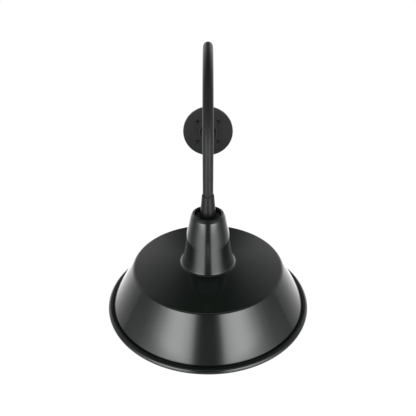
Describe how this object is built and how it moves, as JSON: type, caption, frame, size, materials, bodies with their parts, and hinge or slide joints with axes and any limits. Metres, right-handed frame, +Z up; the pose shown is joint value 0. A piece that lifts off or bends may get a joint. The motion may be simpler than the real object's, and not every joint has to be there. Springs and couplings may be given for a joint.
{
  "type": "gooseneck wall sconce",
  "caption": "Wall lamp with a round wall plate, a gooseneck tube that rises and arches over, and a wide downward metal shade with a tall neck, flat shoulder and rolled rim.",
  "frame": {"origin": "centre of the wall plate's back on the wall, which is the centre of the mounting holes", "axes": "+Z up, +Y into the wall, so the lamp stands out towards -Y; +X to the right as seen from the room"},
  "size_m": [0.3564, 0.5862, 0.4234],
  "materials": {
    "plate_black": "satin black powder coat on a casting",
    "tube_black": "satin black powder coat on bent tube",
    "coupling_black": "satin black paint on a turned part",
    "gloss_black_enamel": "gloss black enamel outside, white enamel inside",
    "washer_rubber": "matt black",
    "foam_rubber": "fine closed-cell foam",
    "bushing_plastic": "moulded",
    "black_steel": "black oxide",
    "zinc_steel": "bright zinc plate",
    "green_screw": "green coated",
    "cap_aluminium": "pressed, satin",
    "porcelain": "white glaze",
    "shell_metal": "rolled brass, bright",
    "contact_brass": "pressed brass, bright",
    "nickel_plate": "nickel plate on brass",
    "lead_black": "smooth sleeve",
    "lead_white": "smooth sleeve"
  },
  "bodies": {
    "sconce": {"wall_plate": "plate_black", "wall_gasket": "foam_rubber", "ground_screw": "green_screw", "hub_set_screw": "black_steel", "gooseneck_arm": "tube_black", "arm_bushing": "bushing_plastic", "arm_coupling": "coupling_black", "coupling_seal": "washer_rubber", "coupling_set_screw": "black_steel", "nipple": "zinc_steel", "neck_gasket": "washer_rubber", "shade": "gloss_black_enamel", "clamp_washer": "zinc_steel", "lock_washer": "zinc_steel", "lock_nut": "zinc_steel", "socket_cap": "cap_aluminium", "cap_set_screw": "zinc_steel", "socket_body": "porcelain", "socket_screws": "zinc_steel", "screw_shell": "shell_metal", "contact_base": "contact_brass", "hot_terminal": "contact_brass", "neutral_terminal": "nickel_plate", "terminal_rivets": "contact_brass", "hot_screw": "contact_brass", "neutral_screw": "nickel_plate", "hot_lead": "lead_black", "neutral_lead": "lead_white"},
    "contact_leaf": {"centre_contact": "contact_brass"}
  },
  "joints": [
    {"name": "contact_flex", "type": "hinge", "parent": "sconce", "child": "contact_leaf", "pos_m": [-0.00425, -0.408, -0.05675], "axis": [0, -1, 0], "range_deg": [0, 10], "stiffness_Nm_per_rad": 0.2}
  ]
}
